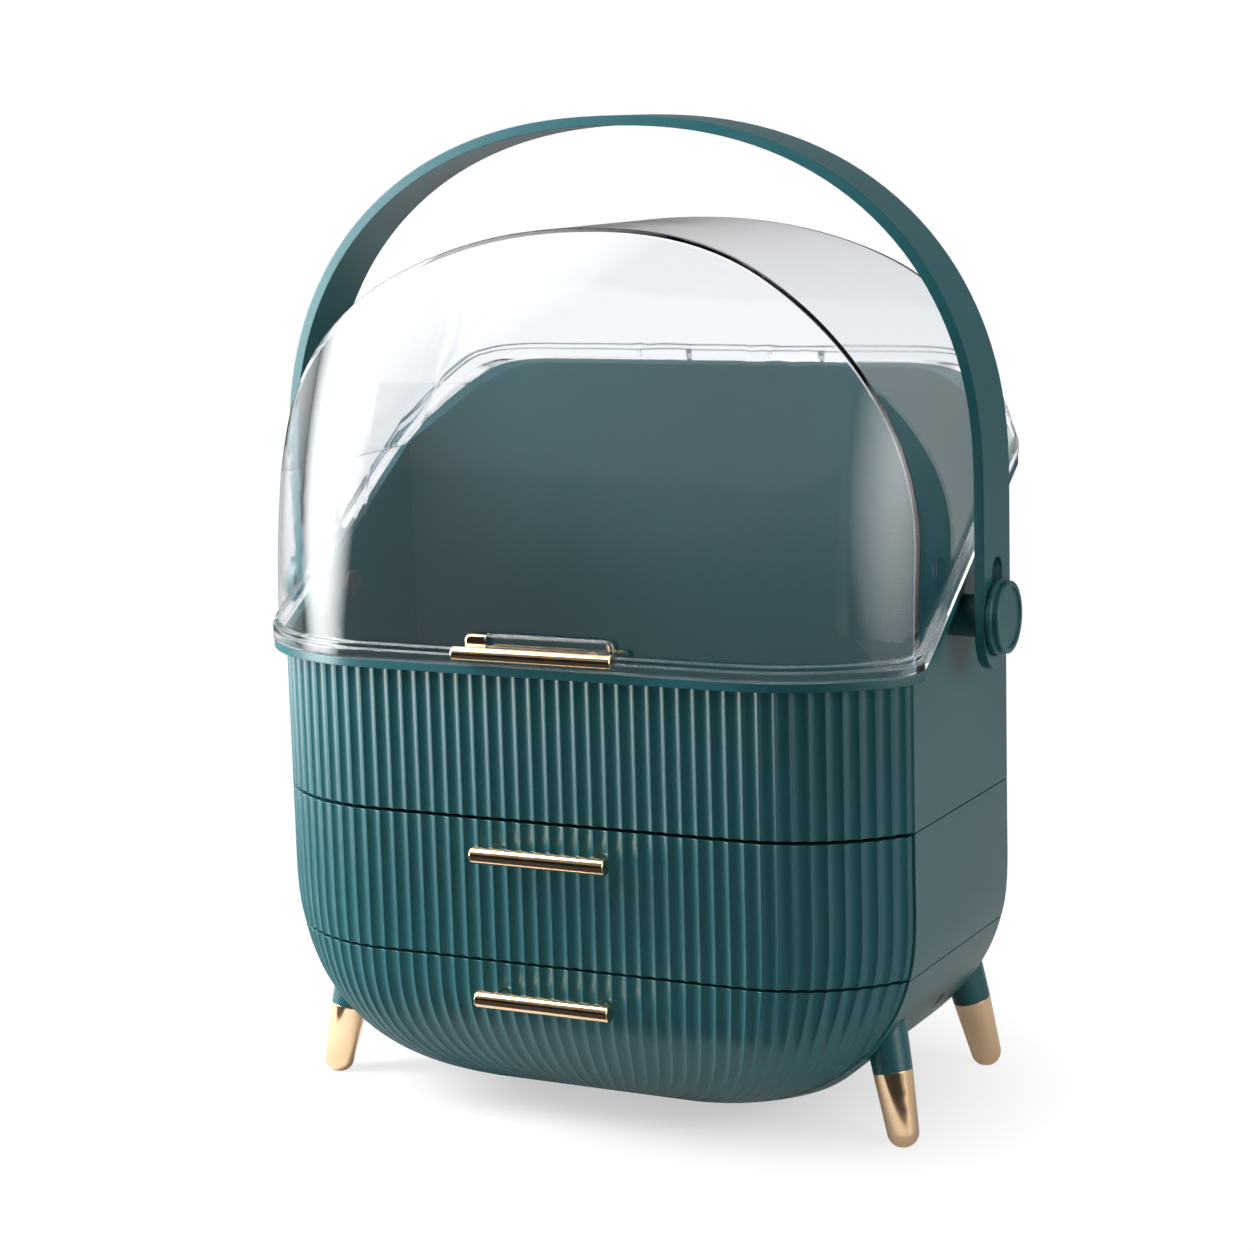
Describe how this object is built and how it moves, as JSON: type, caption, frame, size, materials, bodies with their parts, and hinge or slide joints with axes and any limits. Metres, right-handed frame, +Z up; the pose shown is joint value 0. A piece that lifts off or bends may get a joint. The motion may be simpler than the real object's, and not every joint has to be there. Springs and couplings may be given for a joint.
{
  "type": "cosmetic organizer box",
  "caption": "Free-standing cosmetic case on splayed legs: open bin under a clear hinged lid, fluted drawers below with bar pulls, and an arched carry handle that swings.",
  "frame": {"origin": "on the ground, under the middle of the whole object's box", "axes": "+Z up, -Y towards the user and the way the drawers open, +X to the user's right"},
  "size_m": [0.3464, 0.213, 0.4296],
  "materials": {
    "teal_plastic": "satin moulded plastic, deep teal green",
    "tray_plastic": "plain moulded plastic, deep teal green",
    "clear_plastic": "clear moulded acrylic",
    "gold_metal": "polished rose gold plating",
    "steel": "plain zinc plated steel"
  },
  "bodies": {
    "case": {"bin_casing": "teal_plastic", "middle_casing": "teal_plastic", "bowl_casing": "teal_plastic", "casing_screws_upper": "steel", "casing_screws_lower": "steel", "hinge_pin": "steel", "pivot_boss_left": "teal_plastic", "pivot_boss_right": "teal_plastic", "leg_studs": "steel", "leg_front_left": "teal_plastic", "leg_front_right": "teal_plastic", "leg_rear_left": "teal_plastic", "leg_rear_right": "teal_plastic", "ferrule_front_left": "gold_metal", "ferrule_front_right": "gold_metal", "ferrule_rear_left": "gold_metal", "ferrule_rear_right": "gold_metal"},
    "lid": {"lid_shell": "clear_plastic", "lid_bar": "gold_metal", "lid_bar_screws": "steel", "tab_cap": "gold_metal"},
    "upper_drawer": {"upper_drawer_front": "teal_plastic", "upper_drawer_tray": "tray_plastic", "upper_drawer_bar": "gold_metal", "upper_bar_screws": "steel"},
    "lower_drawer": {"lower_drawer_front": "teal_plastic", "lower_drawer_tray": "tray_plastic", "lower_drawer_bar": "gold_metal", "lower_bar_screws": "steel"},
    "handle_pivots": {"pivot_button_left": "teal_plastic", "pivot_button_right": "teal_plastic", "pivot_screw_left": "steel", "pivot_screw_right": "steel"},
    "handle": {"carry_handle": "teal_plastic"}
  },
  "joints": [
    {"name": "lid_hinge", "type": "hinge", "parent": "case", "child": "lid", "pos_m": [0, 0.10207, 0.309], "axis": [-1, 0, 0], "range_deg": [0, 85]},
    {"name": "handle_swing", "type": "hinge", "parent": "case", "child": "handle_pivots", "pos_m": [0, -0.00502, 0.22], "axis": [-1, 0, 0], "range_deg": [0, 132]},
    {"name": "handle_drop", "type": "slide", "parent": "handle_pivots", "child": "handle", "axis": [0, 0, 1], "range_m": [-0.0193, 0]},
    {"name": "upper_drawer_slide", "type": "slide", "parent": "case", "child": "upper_drawer", "axis": [0, -1, 0], "range_m": [0, 0.1075]},
    {"name": "lower_drawer_slide", "type": "slide", "parent": "case", "child": "lower_drawer", "axis": [0, -1, 0], "range_m": [0, 0.1075]}
  ],
  "couplings": [
    {"joint": "handle_swing", "follows": "lid_hinge", "ratio": 1.55}
  ]
}
